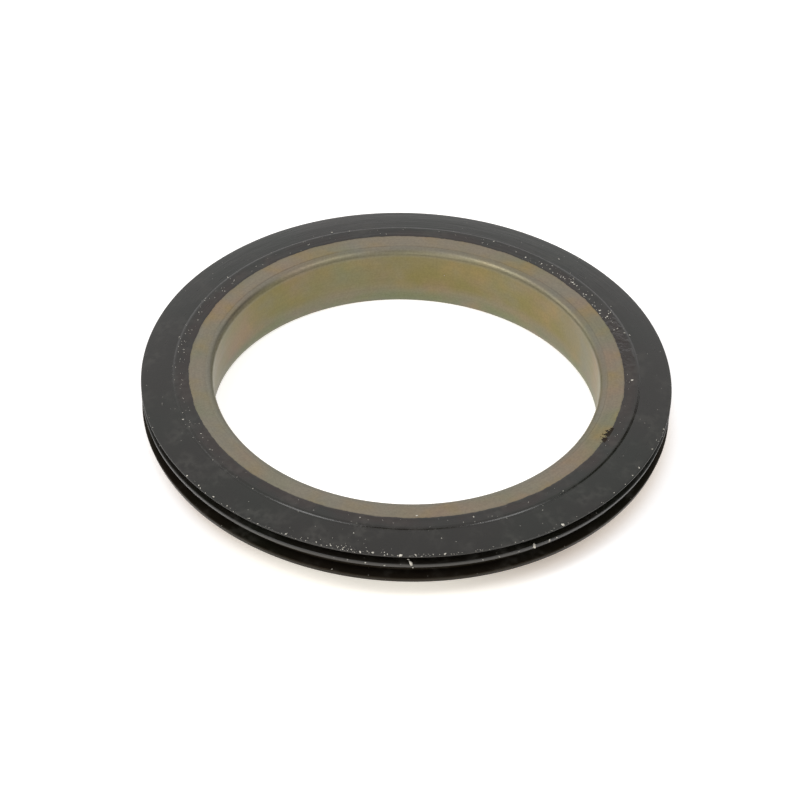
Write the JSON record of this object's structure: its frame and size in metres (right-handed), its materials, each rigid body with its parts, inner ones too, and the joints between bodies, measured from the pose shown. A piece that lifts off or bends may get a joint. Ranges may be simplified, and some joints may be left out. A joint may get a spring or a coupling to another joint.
{
  "type": "oil seal",
  "caption": "Ring-shaped shaft seal: a flanged steel sleeve with a plain press-fit bore, bonded to a black rubber ring with thin outward-facing lips.",
  "frame": {"origin": "on the bore's axis, in the plane of the sleeve's free end, which the seal stands on", "axes": "+Z along the bore's axis, from the sleeve's free end towards the flange; the seal is the same all round, so X and Y are free"},
  "size_m": [0.11, 0.11, 0.014],
  "materials": {
    "passivated_steel": "dull yellow-olive passivated sheet steel",
    "black_rubber": "satin moulded rubber"
  },
  "bodies": {
    "root": {"steel_insert": "passivated_steel", "rubber_ring": "black_rubber"}
  },
  "joints": []
}
